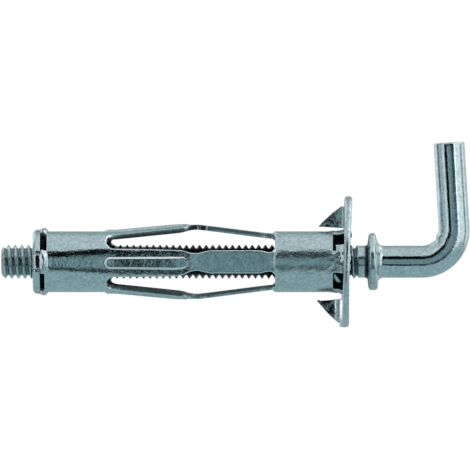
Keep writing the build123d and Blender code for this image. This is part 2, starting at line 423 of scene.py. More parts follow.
def through(points, x):
    """The height at x of straight runs through (x, height) points."""
    for (x0, y0), (x1, y1) in zip(points, points[1:]):
        if x <= x1:
            return y0 + (y1 - y0) * min(max((x - x0) / (x1 - x0), 0), 1)
    return points[-1][1]


def softened(points, x, reach):
    """Straight runs through points, with corners rounded over a reach."""
    shares = (-1, -0.5, 0, 0.5, 1)
    return sum(through(points, x + reach * share) for share in shares) / len(shares)


# Shader helpers
def node(tree, kind, settings=None, inputs=None):
    """The outputs of a new shader node, with settings, and values or links on its inputs."""
    made = tree.nodes.new("ShaderNode" + kind)
    for name, value in (settings or {}).items():
        setattr(made, name, value)
    for name, value in (inputs or {}).items():
        if isinstance(value, bpy.types.NodeSocket):
            tree.links.new(value, made.inputs[name])
        else:
            made.inputs[name].default_value = value
    return made.outputs


def tree_of(*values):
    """The node tree of the first value that is a socket."""
    return next(value.id_data for value in values if isinstance(value, bpy.types.NodeSocket))


def calc(operation, first, second=0.0):
    """One sum on values."""
    tree = tree_of(first, second)
    return node(tree, "Math", {"operation": operation}, {0: first, 1: second})[0]


def product(*values):
    """Values multiplied together."""
    result = values[0]
    for value in values[1:]:
        result = calc("MULTIPLY", result, value)
    return result


def largest(first, second):
    """The larger of two values."""
    return calc("MAXIMUM", first, second)


def rest_of(value):
    """What a value leaves of 1."""
    return calc("SUBTRACT", 1.0, value)


def spread(value, low, high, to_low=0.0, to_high=1.0):
    """A value eased from one range to another."""
    inputs = {"Value": value, "From Min": low, "From Max": high, "To Min": to_low, "To Max": to_high}
    return node(value.id_data, "MapRange", {"interpolation_type": "SMOOTHSTEP"}, inputs)[0]


def fall(value, low, high, start=1.0):
    """A start that eases down to 0 between two limits."""
    return spread(value, low, high, start, 0.0)


def between(share, low, high):
    """A value eased between two others by a share."""
    return spread(share, 0.0, 1.0, low, high)


def window(value, low, high, soft):
    """1 between two limits, with soft ends."""
    rise = spread(value, low - soft, low + soft)
    return product(rise, fall(value, high - soft, high + soft))


def blend(factor, first, second):
    """A mix of two colours."""
    tree = tree_of(factor, first, second)
    return node(tree, "Mix", {"data_type": "RGBA"}, {0: factor, 6: first, 7: second})[2]


def noise_value(vector, scale, roughness=0.5):
    """Fractal noise at a scale in cells for each metre."""
    inputs = {"Vector": vector, "Scale": scale, "Detail": noise_detail, "Roughness": roughness}
    return node(vector.id_data, "TexNoise", None, inputs)["Fac"]


def on_object(tree):
    """The place on the piece, in metres."""
    return node(tree, "TexCoord")["Object"]


def object_parts(tree):
    """The place on the piece as X, Y and Z, in millimetres."""
    inputs = {0: on_object(tree), "Scale": 1 / mm}
    place = node(tree, "VectorMath", {"operation": "SCALE"}, inputs)["Vector"]
    return node(tree, "SeparateXYZ", None, {0: place})


def off_axis(y, z):
    """Distance from the anchor's axis."""
    out = node(y.id_data, "CombineXYZ", None, {"Y": y, "Z": z})[0]
    return node(y.id_data, "VectorMath", {"operation": "LENGTH"}, {0: out})["Value"]


def attribute(tree, name):
    """A value that the mesh carries."""
    return node(tree, "Attribute", {"attribute_name": name})["Fac"]


def rounded_normal(tree, reach):
    """The surface's direction, with sharp edges rounded over a reach in metres."""
    return node(tree, "Bevel", {"samples": bevel_samples}, {"Radius": reach})["Normal"]


def new_group(name, inputs, outputs):
    """An empty shader group with value inputs and outputs, and its two end nodes."""
    group = bpy.data.node_groups.new(name, "ShaderNodeTree")
    for label, start in inputs.items():
        socket = group.interface.new_socket(label, in_out="INPUT", socket_type="NodeSocketFloat")
        socket.default_value = start
    for label in outputs:
        group.interface.new_socket(label, in_out="OUTPUT", socket_type="NodeSocketFloat")
    return group, group.nodes.new("NodeGroupInput"), group.nodes.new("NodeGroupOutput")


def new_material(name):
    """A material and its node tree."""
    material = bpy.data.materials.new(name)
    material.use_nodes = True
    return material, material.node_tree


def show_mix(factor, first, second):
    """Puts a mix of two shaders on the material's surface."""
    tree = factor.id_data
    mixed = node(tree, "MixShader", None, {0: factor, 1: first, 2: second})[0]
    tree.links.new(mixed, tree.nodes["Material Output"].inputs["Surface"])


# Finishes
def make_plating_group():
    """Zinc plate: soft blotches, fine crystal grain and pin-point specks."""
    scales = {"Blotch Scale": blotch_scale, "Grain Scale": grain_scale, "Speck Scale": speck_scale}
    group, given, result = new_group("zinc_plating", scales, ("Blotch", "Grain", "Speck", "Height"))
    place = on_object(group)
    blotch = noise_value(place, given.outputs["Blotch Scale"])
    grain = noise_value(place, given.outputs["Grain Scale"], grain_roughness)
    inputs = {"Vector": place, "Scale": given.outputs["Speck Scale"]}
    cells = node(group, "TexVoronoi", {"feature": "F1"}, inputs)["Distance"]
    speck = fall(cells, *speck_range)
    height = calc("ADD", product(blotch, blotch_height), product(grain, grain_height))
    height = calc("SUBTRACT", height, product(speck, speck_depth))
    layers = (spread(blotch, *blotch_range), spread(grain, *grain_range), speck, height)
    for number, layer in enumerate(layers):
        group.links.new(layer, result.inputs[number])
    return group


def make_edge_group():
    """A mask of the edges, where the plate shows wear and a painted highlight."""
    group, given, result = new_group("worn_sheen_edge", {"Radius": edge_reach * mm}, ("Edge",))
    rounded = rounded_normal(group, given.outputs["Radius"])
    flat = node(group, "NewGeometry")["Normal"]
    alike = node(group, "VectorMath", {"operation": "DOT_PRODUCT"}, {0: rounded, 1: flat})
    group.links.new(fall(alike["Value"], *edge_likeness), result.inputs["Edge"])
    return group


plating_group = make_plating_group()
edge_group = make_edge_group()


def edge_mask(tree, reach):
    """1 on the edges of the piece, within a reach in millimetres."""
    return node(tree, "Group", {"node_tree": edge_group}, {"Radius": reach * mm})["Edge"]


def tinted(colour, gain=1.0):
    """A colour made brighter or darker, up to white."""
    return (*(min(1.0, part * gain) for part in colour), 1)


def zinc(name, roughness, bump, reach, darken=None, relief=None, blotches=blotch_scale, tones=zinc_tones):
    """A zinc-plated steel finish: two tones of plate, edges lightened by wear and a painted highlight, grain
    in its gloss and bump.
    """
    tone, shade = tones
    material, tree = new_material(name)
    shader = tree.nodes["Principled BSDF"]
    plating = node(tree, "Group", {"node_tree": plating_group}, {"Blotch Scale": blotches})
    colour = blend(plating["Blotch"], tinted(shade), tinted(tone))
    dull = tinted(shade, dull_gain)
    crystals = blend(plating["Grain"], dull, tinted(tone, pale_gain))
    colour = blend(crystal_share, colour, crystals)
    colour = blend(product(plating["Speck"], speck_share), colour, dull)
    wear_and_sheen = product(edge_mask(tree, reach), wear_sheen_share)
    colour = blend(wear_and_sheen, colour, tinted(tone, wear_sheen_gain))
    rough = between(plating["Blotch"], *(roughness * share for share in gloss_shares))
    if darken:
        colour, rough = darken(tree, colour, rough)
    inputs = {
        "Strength": 1.0,
        "Distance": product(relief(tree), bump * mm) if relief else bump * mm,
        "Height": plating["Height"],
        "Normal": rounded_normal(tree, reach * mm),
    }
    bumped = node(tree, "Bump", None, inputs)["Normal"]
    for label, value in (("Base Color", colour), ("Roughness", rough), ("Normal", bumped)):
        tree.links.new(value, shader.inputs[label])
    shader.inputs["Metallic"].default_value = 1.0
    return material


def shaded_thread(tree, colour, rough):
    """Painted shade: black on the thread inside the sleeve, weaker on its lower side, and in its roots where
    it is bare.
    """
    x, y, z = object_parts(tree)
    painted_shade = product(
        spread(x, *thread_shade_back),
        fall(x, *thread_shade_front),
        spread(z, *thread_shade_fade_heights, thread_low_shade_share),
    )
    roots = fall(off_axis(y, z), *root_shade_radii)
    roots = product(roots, spread(x, nut_front, 0, *root_shade_shares))
    colour = blend(largest(painted_shade, roots), colour, shade_black)
    return colour, between(painted_shade, *thread_gloss)


def shaded_wire(tree, colour, rough):
    """Painted shade in the corner behind the upset collar, and a duller collar."""
    x, y, z = object_parts(tree)
    corner = product(
        spread(x, *corner_shade_back),
        fall(off_axis(y, z), *corner_shade_radii),
        fall(x, *corner_shade_front),
        corner_shade_share,
    )
    collar = fall(x, *dull_collar_run)
    colour = blend(corner, colour, shade_black)
    return colour, calc("ADD", rough, product(collar, collar_dulling))


def shaded_neck(tree, colour, rough):
    """Painted shade: black on the nut's neck, ahead of its rim."""
    painted_shade = spread(object_parts(tree)["X"], *neck_shade_run)
    return blend(painted_shade, colour, shade_black), between(painted_shade, *shaded_gloss)


def shaded_hub(tree, colour, rough):
    """Painted shade on the plate's hub, but for a streak left lit as a painted highlight, round its hole, and
    in patches on its claws but for the lower claw's edges; painted highlights on the lower claw.
    """
    x, y, z = object_parts(tree)
    radius = off_axis(y, z)
    slant = calc("ADD", z, product(x, hub_glint_slope))
    hub = product(
        fall(radius, *hub_radii),
        rest_of(window(slant, *hub_glint_streak)),
        fall(x, plate_seat, 2 * plate_seat),
    )
    painted_shade = largest(hub, fall(radius, *hole_shade_radii))
    # Patchy painted shade on the claws, but for the lower claw's edges
    patches = spread(noise_value(on_object(tree), shade_patch_scale), *shade_patch_range, *claw_shade_shares)
    lit_edges = fall(z, *claw_lit_edge_heights, claw_lit_share)
    lit_edges = product(edge_mask(tree, claw_lit_edge_reach), lit_edges)
    claw = fall(x, *claw_shade_run)
    painted_shade = largest(painted_shade, product(claw, patches, rest_of(lit_edges)))
    # Painted highlights on the lower claw
    bright = largest(window(x, *claw_glint_stripe), window(x, *claw_glint_patch))
    bright = product(bright, fall(z, *low_claw_glint_heights, claw_lit_share))
    colour = blend(bright, colour, sheen_white)
    return blend(painted_shade, colour, shade_black), between(painted_shade, *hub_gloss)


def bend_relief(tree):
    """The wire's skin is coarser where it is stretched and wrinkled by the bend."""
    x, _, z = object_parts(tree)
    bent = spread(x, *bend_relief_run)
    low = fall(z, *bend_relief_heights)
    return between(product(bent, low), 1.0, bend_relief_gain)


def scuffed_collar_and_sheen(tree, colour, rough):
    """A duller front collar, scuffed by the press, edges with wear and a painted highlight, and bead
    shoulders with a painted highlight.
    """
    scuffed = spread(object_parts(tree)["X"], *scuff_run)
    colour = blend(product(attribute(tree, "wear_and_sheen"), edge_sheen_share), colour, sheen_white)
    return colour, calc("ADD", rough, product(scuffed, scuff_dulling))


def tube_relief(tree):
    """The rolled tube is smoother than the pressed legs."""
    return spread(object_parts(tree)["X"], *tube_relief_run, tube_relief_share)


def sheared_and_shaded_rim(tree, colour, rough):
    """A cut edge: bright where the punch entered, with a tear zone below; painted shade on the top leg's
    upper side past the knee, on its blade and crest and on the rims by the plate, less dark at the low leg's
    crest, and painted highlights on the top leg's crest.
    """
    depth = attribute(tree, "depth")
    along, _, up = object_parts(tree)
    top = spread(up, *top_heights)
    torn_and_shaded = spread(depth, *tear_depths)
    turned_shade = calc("SUBTRACT", fall(depth, *turned_shade_depths), torn_and_shaded)
    torn_and_shaded = calc("ADD", torn_and_shaded, product(spread(along, *turned_shade_run), top, turned_shade))
    blade_shade_depth = spread(depth, *top_blade_shade_depths, 0.0, top_blade_shade_share)
    top_blade_shade = product(window(along, *top_blade_shade_run), top, blade_shade_depth)
    torn_and_shaded = largest(torn_and_shaded, top_blade_shade)
    low_crest = product(window(along, *low_crest_run), rest_of(top))
    torn_and_shaded = product(torn_and_shaded, between(low_crest, 1.0, low_crest_dark_share))
    top_crest = product(top, window(along, *top_crest_run), top_crest_shade_share)
    black_shade = largest(top_crest, product(top_blade_shade, top_blade_black_share))
    first_glint, second_glint = (window(along, *glint_run) for glint_run in crest_glints)
    glints = product(top, largest(first_glint, second_glint))
    unglinted = rest_of(glints)
    torn_and_shaded = product(torn_and_shaded, unglinted)
    painted_shade = product(spread(along, *rim_shade_back), fall(along, plate_seat, head_back, rim_shade_share))
    colour = blend(glints, colour, sheen_white)
    colour = blend(product(torn_and_shaded, torn_and_shaded_share), colour, torn_and_shaded_tone)
    colour = blend(product(black_shade, unglinted), colour, shade_black)
    colour = blend(painted_shade, colour, shade_black)
    return colour, between(torn_and_shaded, *shaded_gloss)


# Each has its roughness, bump height and reach of edges with wear and a painted highlight, the last two in
# millimetres
sheet_finish = zinc("sheet_zinc", 0.1, 0.03, 0.12, darken=scuffed_collar_and_sheen, relief=tube_relief)
# The sheet's inner face: the same zinc in darker tones, as painted shade
inside_shaded_finish = zinc("sheet_inside_shaded", 0.45, 0.012, 0.07, tones=inside_shaded_tones)
rim_finish = zinc("sheet_rim", 0.2, 0.04, 0.12, darken=sheared_and_shaded_rim)
wire_finish = zinc("wire_zinc", 0.045, 0.009, 0.1, shaded_wire, bend_relief, wire_blotch_scale)
thread_finish = zinc("thread_zinc", 0.12, 0.008, 0.05, darken=shaded_thread)
plate_finish = zinc("plate_zinc", 0.12, 0.036, 0.1, darken=shaded_hub)
nut_finish = zinc("nut_zinc", 0.12, 0.014, 0.1, darken=shaded_neck)


def link_object(bm, name, materials):
    """The bmesh as an object of the scene."""
    mesh = bpy.data.meshes.new(name)
    bm.to_mesh(mesh)
    bm.free()
    for material in materials:
        mesh.materials.append(material)
    made = bpy.data.objects.new(name, mesh)
    bpy.context.scene.collection.objects.link(made)
    return made


def finish_piece(bm, name, body, replaced, materials):
    """The bmesh as a piece of the object, in metres, with smooth faces between its creases."""
    ops.scale(bm, vec=(mm, mm, mm), verts=bm.verts)
    for face in bm.faces:
        face.smooth = True
    for edge in bm.edges:
        edge.smooth = edge.calc_face_angle(0) < crease_angle
    piece = link_object(bm, name, materials)
    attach(piece, body)
    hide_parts(replaced)
    return piece


def only(items, kind):
    """The items of one kind."""
    return [item for item in items if isinstance(item, kind)]


# Sleeve
def sheet_rows():
    """Stations along the sheet, close together where it is creased or pierced."""
    stops = (
        (nut_back, 6),
        (nut_front, 12),
        (bulge_front, 16),
        (bead_back - 0.3, 36),
        (root_end + back_slot_lag, 24),
        (bead_front - 1.2, 34),
        (crest_front + 1, 26),
        (front_end - 0.5, 28),
        (collar_back + 1, 20),
        (collar_front - 0.3, 18),
        (plate_seat, 6),
        (head_back, 5),
        (head_front, 0),
    )
    fixed = {tube_back, slot_back, root_end, collar_back}
    rows = set()
    for (start, steps), (end, _) in zip(stops, stops[1:]):
        rows |= {start + (end - start) * step / steps for step in range(steps)}
    rows = {row for row in rows if all(abs(row - place) > slack for place in fixed)}
    return sorted(rows | fixed | {head_front})


def sheet_columns():
    """Places across a quarter of the sheet, close together at the bead's flanks and at free edges."""
    steps = range(-1, bead_columns + 2)
    flank = [bead_half - bead_flank + bead_flank * step / bead_columns for step in steps]
    edges = [tongue_half, tab_half, leg_root_half, quarter_half]
    near_edges = [edge - edge_round * share for edge in edges for share in near_edge_shares]
    side = [*plain_columns, *flank, leg_core_half, spread_tab_half, *near_edges]
    return sorted([-place for place in side] + [0.0] + side)


def half_width(x):
    """Half the leg's width along its blades, waist and front end."""
    return softened(leg_widths, x, leg_width_round) if x < front_end else through(leg_widths, x)


def slot_station(x, across, quarter):
    """The station that shapes the slots: the two at the back start a little further forward."""
    beside = (quarter == top_leg and across > 0) or (quarter == low_leg and across < 0)
    if (quarter == back_leg or beside) and x > bulge_front:
        return x - back_slot_lag * (1 - ease(x, root_end + back_slot_run, knee_back))
    return x


def tube_start(side, quarter):
    """Where the rear tube starts beside the tabs: further back at the low window in front."""
    if (quarter == facing_leg and side < 0) or (quarter == low_leg and side > 0):
        return tube_back - low_window_lip
    return tube_back


def sheet_limit(x, side, quarter):
    """How far across the sheet reaches before it is rolled: tongue, tab, leg or whole quarter."""
    if x < nut_front or x > plate_seat:
        return tongue_half
    if x > collar_front + spread_tab_lag and quarter == facing_leg and side > 0:
        return spread_tab_half
    if x < tube_start(side, quarter) or x > collar_front:
        return tab_half
    if root_end < x < collar_back:
        return leg_root_half
    return quarter_half


def drawn_in(x, place):
    """A place across the sheet, drawn in to the round slot ends and the leg's edges."""
    side = 1 if place > 0 else -1
    reach = abs(place)
    if slot_back < x <= root_end and reach > leg_root_half:
        slot = root_end - slot_back
        opened = sqrt(max(slot**2 - (root_end - x) ** 2, 0)) / slot
        reach = leg_root_half + (reach - leg_root_half) * (1 - opened)
    elif root_end < x < collar_back and reach > leg_core_half:
        share = (half_width(x) - leg_core_half) / (leg_root_half - leg_core_half)
        reach = leg_core_half + (reach - leg_core_half) * share
    elif x > head_back:
        reach *= 1 + head_spread_share * ease(x, head_back, head_front)
    return side * reach


def sheet_height(x, across):
    """Height of the sheet's outer face over the axis."""
    flat, edge = (tab_half * share for share in tab_crown_shares)
    crown = 1 - ease(abs(across), flat, edge)
    points = [
        *((nut_back + run, tongue_lift - drop) for run, drop in tongue_curl),
        (nut_front, tongue_lift),
        ((nut_front + tube_back) / 2, bulge_height * (abs(across) < tab_half + slack)),
        (tube_back - bulge_fall, bulge_height * bulge_fall_share * crown),
        (tube_back + bulge_end, 0),
        (root_end, 0),
        (crest_back, knee_rise),
        (crest_front, knee_rise),
        (front_end, -joggle_depth),
    ]
    joggle = collar_back - joggle_reach + joggle_bow * (across / leg_root_half) ** 2
    joined = ease(x, joggle - joggle_reach, joggle + joggle_reach)
    flared = ease(x, -flare_run, 0) * (x < plate_seat + slack)
    return sleeve_outer + softened(points, x, sheet_bend_round) * (1 - joined) + front_flare * flared


def bead_away(x, across):
    """Distance from the middle line of a leg's bead."""
    nearest = min(max(x, bead_back + bead_half), bead_front - bead_half)
    return sqrt((x - nearest) ** 2 + across**2)


def bead(x, across):
    """The height of the pressed bead on a leg's rear blade, fading towards the knee."""
    faded = ease(-x, -bead_front, bead_end_run - bead_front)
    height = bead_height * (bead_end_share + (1 - bead_end_share) * faded)
    return height * (1 - ease(bead_away(x, across), bead_half - bead_flank, bead_half))


def bead_shoulder(x, across):
    """1 half-way down the bead's flank, where the plate gets a painted highlight, and 0 off it."""
    share = (bead_away(x, across) - bead_half + bead_flank) / bead_flank
    return sin(pi * min(max(share, 0), 1))


def inland(across):
    """1 in the middle of a quarter of the sheet, 0 where it joins the next."""
    return 1 - min(abs(across) / quarter_half, 1) ** 4


def flatness(x, across, quarter):
    """How far a leg is pressed flat: none on the tubes, all of it on the front blade."""
    blade = 1 if quarter % 2 else side_leg_flat_share
    lag = 0 if quarter % 2 else side_leg_flat_lag
    points = [
        (flat_start, 0),
        (slot_back, rear_flat_share * blade),
        (knee_back - flat_knee_lead + lag, knee_flat_share * blade),
        (knee, 1),
        (flat_front[0], front_flat_share),
        (flat_front[1], 0),
    ]
    return softened(points, x, flat_round) * inland(across)


def dents(x, across, quarter):
    """Hammer marks on the tabs, a crease at the knee, and the slight waves of a rolled sheet."""
    place = Vector((x, across, quarter))
    wave = wave_height * inland(across) * noise.noise(place * wave_cells)
    bowed = x - crest_front + crease_lead - crease_bow * across**2
    crease = crease_depth * bell(bowed, crease_half) * inland(across)
    front = ease(x, *front_dent_run) * bell(across, front_dent_half)
    rear = ease(-x, -bulge_front, -tube_back) * bell(across, rear_dent_half)
    marks = noise.noise(place * mark_cells + mark_offset) * max(front_dent * front, rear_dent * rear)
    return wave - crease + marks


def rolled(x, across, depth, quarter):
    """A point of the sheet once it is rolled and creased."""
    if across < hair - quarter_half and quarter == low_leg:
        across += seam_half
    if across > quarter_half - hair and quarter == back_leg:
        across -= seam_half
    height = sheet_height(x, across) + bead(x, across) + dents(x, across, quarter)
    if x > head_back:
        x = head_back + (x - head_back) * head_shares[round(quarter)]
    x -= (flange_thickness - rim_thickness) * ease(x, plate_seat, head_back)
    height -= depth * sheet_thickness
    angle = across / sleeve_outer
    flat = flatness(x, across, round(quarter))
    y = across * flat + height * sin(angle) * (1 - flat)
    z = height * flat + height * cos(angle) * (1 - flat)
    twist = leg_twist * ease(x, bulge_front, bead_back) * (1 - ease(x, *twist_end))
    place = Matrix.Rotation(quarter * 2 * pi / legs + twist, 3, "X") @ Vector((x, y, z))
    place.x += place.z * tan(plate_tilt) * ease(x, collar_front, 0)
    return place


def round_edges(bm, along, quarter, drop, wear_and_sheen):
    """Works out how far the outer face drops towards each free edge, and how much wear and painted highlight
    it gets there.
    """
    edge_verts = [vert for vert in bm.verts if vert.is_boundary]
    near = kdtree.KDTree(len(edge_verts))
    for number, vert in enumerate(edge_verts):
        near.insert(vert.co, number)
    near.balance()
    for vert in bm.verts:
        x = vert[along]
        blade = ease(x, *side_leg_round_run) * (x < collar_back) * (1 - round(vert[quarter]) % 2)
        slot_end = ease(x, *slot_end_start) * (1 - ease(x, *slot_end_stop))
        reach = edge_round * (1 - (1 - side_leg_round_share) * blade + slot_end_growth_share * slot_end)
        away = min(near.find(vert.co)[2] / reach, 1)
        vert[drop] = reach / sheet_thickness * (1 - sqrt(1 - (1 - away) ** 2))
        vert[wear_and_sheen] = (1 - away) * (1 - blade)


def make_sleeve():
    """The pierced sheet: four quarters of a grid, rolled, joined and given their thickness."""
    bm = bmesh.new()
    names = ("along", "across", "quarter", "depth", "drop", "wear_and_sheen")
    along, across, quarter, depth, drop, wear_and_sheen = (bm.verts.layers.float.new(name) for name in names)
    rows = sheet_rows()
    columns = sheet_columns()
    last_row = len(rows) - 1
    last_column = len(columns) - 1
    for number in range(legs):
        grid = ops.create_grid(bm, x_segments=last_row, y_segments=last_column, size=0.5)
        places = {}
        for vert in grid["verts"]:
            x = rows[round((vert.co.x + 0.5) * last_row)]
            place = columns[round((vert.co.y + 0.5) * last_column)]
            station = slot_station(x, place, number)
            places[vert] = (station, place)
            vert[along] = x
            vert[across] = drawn_in(station, place)
            vert[quarter] = number
        waste = []
        for face in {face for vert in grid["verts"] for face in vert.link_faces}:
            middle = sum(places[vert][0] for vert in face.verts) / len(face.verts)
            side = sum(places[vert][1] for vert in face.verts) / len(face.verts)
            reach = max(abs(places[vert][1]) for vert in face.verts)
            if reach > sheet_limit(middle, side, number) + hair:
                waste.append(face)
        ops.delete(bm, geom=waste, context="FACES")
    for vert in bm.verts:
        vert.co = rolled(vert[along], vert[across], 0, vert[quarter])
    ops.remove_doubles(bm, verts=bm.verts, dist=sheet_weld)
    round_edges(bm, along, quarter, drop, wear_and_sheen)
    for vert in bm.verts:
        # A painted highlight along the bead shoulders of the facing and back legs
        vert[wear_and_sheen] = max(vert[wear_and_sheen], bead_shoulder(vert[along], vert[across]) * (round(vert[quarter]) % 2))
        vert.co = rolled(vert[along], vert[across], vert[drop], vert[quarter])
    inner = ops.extrude_face_region(bm, geom=bm.faces[:], use_keep_orig=True)
    for vert in only(inner["geom"], BMVert):
        vert[depth] = 1
        vert.co = rolled(vert[along], vert[across], 1, vert[quarter])
    ops.recalc_face_normals(bm, faces=bm.faces)
    for face in bm.faces:
        depths = {round(vert[depth]) for vert in face.verts}
        face.material_index = 2 if len(depths) == 2 else depths.pop()
    materials = [sheet_finish, inside_shaded_finish, rim_finish]
    return finish_piece(bm, "rolled_sleeve", "anchor", "sleeve", materials)


# Hook screw
def boundary(bm, x):
    """The open edges that lie at a station."""
    open_edges = [edge for edge in bm.edges if edge.is_boundary]
    return [edge for edge in open_edges if all(abs(vert.co.x - x) < slack for vert in edge.verts)]


def make_thread(bm):
    """The rolled thread: one turn of its outline spun along the helix, repeated, chamfered and run out."""
    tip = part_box("hook_screw")[0].x / mm
    depth = thread_crest - thread_root
    start = tip - 2 * thread_pitch + thread_shift
    outline = []
    for along, high in thread_shares:
        outline.append(bm.verts.new((start + along * thread_pitch, 0, thread_root + high * depth)))
    lines = [bm.edges.new(pair) for pair in zip(outline, outline[1:])]
    step = Vector((thread_pitch / thread_steps, 0, 0))
    line = {"cent": (0, 0, 0), "axis": (1, 0, 0), "dvec": step}
    ops.spin(bm, geom=outline + lines, **line, angle=2 * pi, steps=thread_steps)
    turn = bm.verts[:] + bm.edges[:] + bm.faces[:]
    for number in range(1, int((thread_end - start) / thread_pitch) + 3):
        copy = ops.duplicate(bm, geom=turn)
        moved = only(copy["geom"], BMVert)
        ops.translate(bm, verts=moved, vec=(number * thread_pitch, 0, 0))
    ops.remove_doubles(bm, verts=bm.verts, dist=thread_weld)
    for vert in bm.verts:
        radius = vert.co.yz.length
        short = 1 - min(max((vert.co.x - tip) / tip_chamfer, 0), 1)
        limit = tip_radius + (thread_crest - tip_radius) * sqrt(1 - short**2)
        faded = ease(vert.co.x, runout_start, runout_end)
        wanted = min(radius, limit) * (1 - faded) + wire_radius * faded
        vert.co.yz *= wanted / radius
    for place, side in ((tip, -1), (thread_end, 1)):
        skin = bm.verts[:] + bm.edges[:] + bm.faces[:]
        plane = {"plane_co": (place, 0, 0), "plane_no": (side, 0, 0)}
        ops.bisect_plane(bm, geom=skin, dist=cut_weld, **plane, clear_outer=True)
    ops.holes_fill(bm, edges=boundary(bm, tip), sides=0)


def stretch(bm, edges, matrix):
    """Draws a ring of edges out to where a matrix takes it, and gives the new ring."""
    drawn = ops.extrude_edge_only(bm, edges=edges)["geom"]
    ops.transform(bm, matrix=matrix, verts=only(drawn, BMVert))
    return only(drawn, BMEdge)


def upset_outline():
    """(x, radius) rings of the upset collar: a squarish bulge with a fillet in front."""
    middle = (upset_back + upset_front) / 2
    half = (upset_front - upset_back) / 2
    rings = [(upset_back - run, wire_radius + rise) for run, rise in upset_foot]
    for step in range(1, upset_steps):
        turn = pi * step / upset_steps
        side = 1 if turn < pi / 2 else -1
        x = middle - half * side * abs(cos(turn)) ** upset_length_power
        rings.append((x, wire_radius + (upset_radius - wire_radius) * sin(turn) ** upset_height_power))
    for step in range(1, fillet_steps + 1):
        turn = pi / 2 * step / fillet_steps
        x = upset_front + upset_fillet * (1 - cos(turn))
        rings.append((x, wire_radius + upset_fillet * (1 - sin(turn))))
    return rings


def make_hook():
    """The bent wire: thread, neck, upset collar, bend and arm, drawn out as one skin."""
    bm = bmesh.new()
    make_thread(bm)
    threads = set(bm.faces)
    ring = boundary(bm, thread_end)
    rings = [(thread_end, wire_radius), *upset_outline()]
    rings += [(rings[-1][0] + run, wire_radius) for run in shank_runs]
    rings.append((arm_foot - bend_reach, wire_radius))
    for (x0, r0), (x1, r1) in zip(rings, rings[1:]):
        grown = Matrix.Diagonal((1, r1 / r0, r1 / r0, 1)) @ Matrix.Translation((-x0, 0, 0))
        ring = stretch(bm, ring, Matrix.Translation((x1, 0, 0)) @ grown)
    verts = list({vert for edge in ring for vert in edge.verts})
    line = {"cent": (arm_foot - bend_reach, 0, bend_radius), "axis": (0, -1, 0)}
    bent = ops.spin(bm, geom=verts + ring, **line, angle=bend_turn, steps=bend_steps)
    ring = only(bent["geom_last"], BMEdge)
    up = Vector((-sin(arm_lean), 0, cos(arm_lean)))
    bend_end = Vector((arm_foot, 0, 0)) + up * bend_reach
    arm = arm_height / cos(arm_lean) - bend_reach - arm_end_round
    for step in range(arm_steps):
        ring = stretch(bm, ring, Matrix.Translation(up * arm / arm_steps))
    centre = bend_end + up * arm
    size = 1.0
    for step in range(1, arm_end_steps + 1):
        turn = pi / 2 * step / arm_end_steps
        wanted = 1 - arm_end_round / wire_radius * (1 - cos(turn))
        rise = arm_end_round * (sin(turn) - sin(pi / 2 * (step - 1) / arm_end_steps))
        shrink = Matrix.Translation(centre) @ Matrix.Scale(wanted / size, 4) @ Matrix.Translation(-centre)
        ring = stretch(bm, ring, Matrix.Translation(up * rise) @ shrink)
        centre = centre + up * rise
        size = wanted
    ops.contextual_create(bm, geom=ring)
    ops.recalc_face_normals(bm, faces=bm.faces)
    for face in bm.faces:
        face.material_index = 0 if face in threads else 1
    for vert in bm.verts:
        vert.co += forging(vert.co)
    return finish_piece(bm, "bent_hook", "hook", "hook_screw", [thread_finish, wire_finish])


def forging(place):
    """How the wire departs from round: a lumpy collar, a wrinkled bend and a slimmer arm."""
    out = Vector((0, place.y, place.z))
    move = Vector((0, 0, 0))
    if forged_back < place.x < forged_front and out.length > forged_radius:
        share = (out.length - wire_radius) / (upset_radius - wire_radius)
        front = ease(place.x, collar_lean_start, upset_front)
        lumps = collar_lump * noise.noise(place * collar_lump_cells)
        move.x = share * (lumps - front * (collar_lean + collar_lean_slope * place.z))
        swell = collar_swell * share * noise.noise(place * collar_swell_cells + collar_swell_offset)
        move += out.normalized() * swell
    if place.x > forged_front:
        flat = Vector((place.x - arm_foot + bend_reach, 0, place.z - bend_radius))
        if flat.length < bend_radius and place.z < wrinkle_top:
            inside = 1 - flat.length / bend_radius
            turn = degrees(asin(min(max(-flat.normalized().z, -1), 1)))
            ridge = sum(height * bell(turn - middle, half) for height, middle, half in wrinkles)
            move -= flat.normalized() * inside * ridge
        middle = arm_foot - place.z * tan(arm_lean)
        move.x += ease(place.z, *arm_shift_heights) * (arm_shift - arm_slim_share * (place.x - middle))
    return move


# Flange plate and nut
def dressed_copy(name):
    """A CAD node's mesh in millimetres, with its points merged and its flat faces joined."""
    bm = bmesh.new()
    bm.from_mesh(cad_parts[name].data)
    ops.scale(bm, vec=(1 / mm, 1 / mm, 1 / mm), verts=bm.verts)
    ops.remove_doubles(bm, verts=bm.verts, dist=weld)
    ops.dissolve_limit(bm, angle_limit=flat_angle, verts=bm.verts, edges=bm.edges)
    return bm


def break_corners(bm, radius):
    """Rounds every sharp edge of a copy."""
    corners = [edge for edge in bm.edges if edge.calc_face_angle(0) > corner_angle]
    shape = {"segments": 2, "profile": 0.5, "affect": "EDGES", "clamp_overlap": True, "material": -1}
    ops.bevel(bm, geom=corners, offset=radius, **shape)


def slice_at(bm, chosen, direction, places):
    """Cuts the chosen faces along planes across a direction, for points to shape."""
    for place in places:
        faces = [face for face in bm.faces if all(chosen(vert.co) for vert in face.verts)]
        edges = {edge for face in faces for edge in face.edges}
        verts = {vert for face in faces for vert in face.verts}
        cut = [*faces, *edges, *verts]
        ops.bisect_plane(bm, geom=cut, dist=hair, plane_co=direction * place, plane_no=direction)


def on_rim(place):
    """Whether a place is on the plate's rim."""
    return place.yz.length > flange_radius - rim_round - rim_slack


def on_claw(place):
    """Whether a place is on a claw."""
    return place.x < -claw_start and abs(place.z) > sleeve_outer


